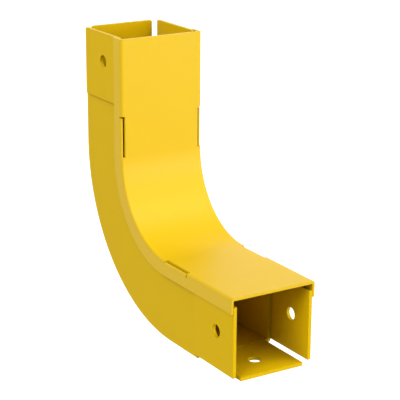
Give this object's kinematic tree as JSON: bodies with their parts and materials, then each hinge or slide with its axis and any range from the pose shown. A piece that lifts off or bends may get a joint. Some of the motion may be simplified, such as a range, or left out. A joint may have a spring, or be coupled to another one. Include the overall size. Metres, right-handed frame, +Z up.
{
  "type": "fibre raceway fitting",
  "caption": "Square 90 degree inside bend for a yellow fibre raceway, with a clip-on cover channel round the bend and joining tabs with screw holes at the ends.",
  "frame": {"origin": "corner where the plane of the back and the plane of the underside meet, midway across the duct", "axes": "+X along the horizontal leg out of its socket, +Z up the vertical leg out of its socket, +Y across the duct"},
  "size_m": [0.1775, 0.0574, 0.1775],
  "materials": {
    "body_yellow": "satin",
    "cover_yellow": "satin"
  },
  "bodies": {
    "root": {"body": "body_yellow", "cover": "cover_yellow"}
  },
  "joints": []
}
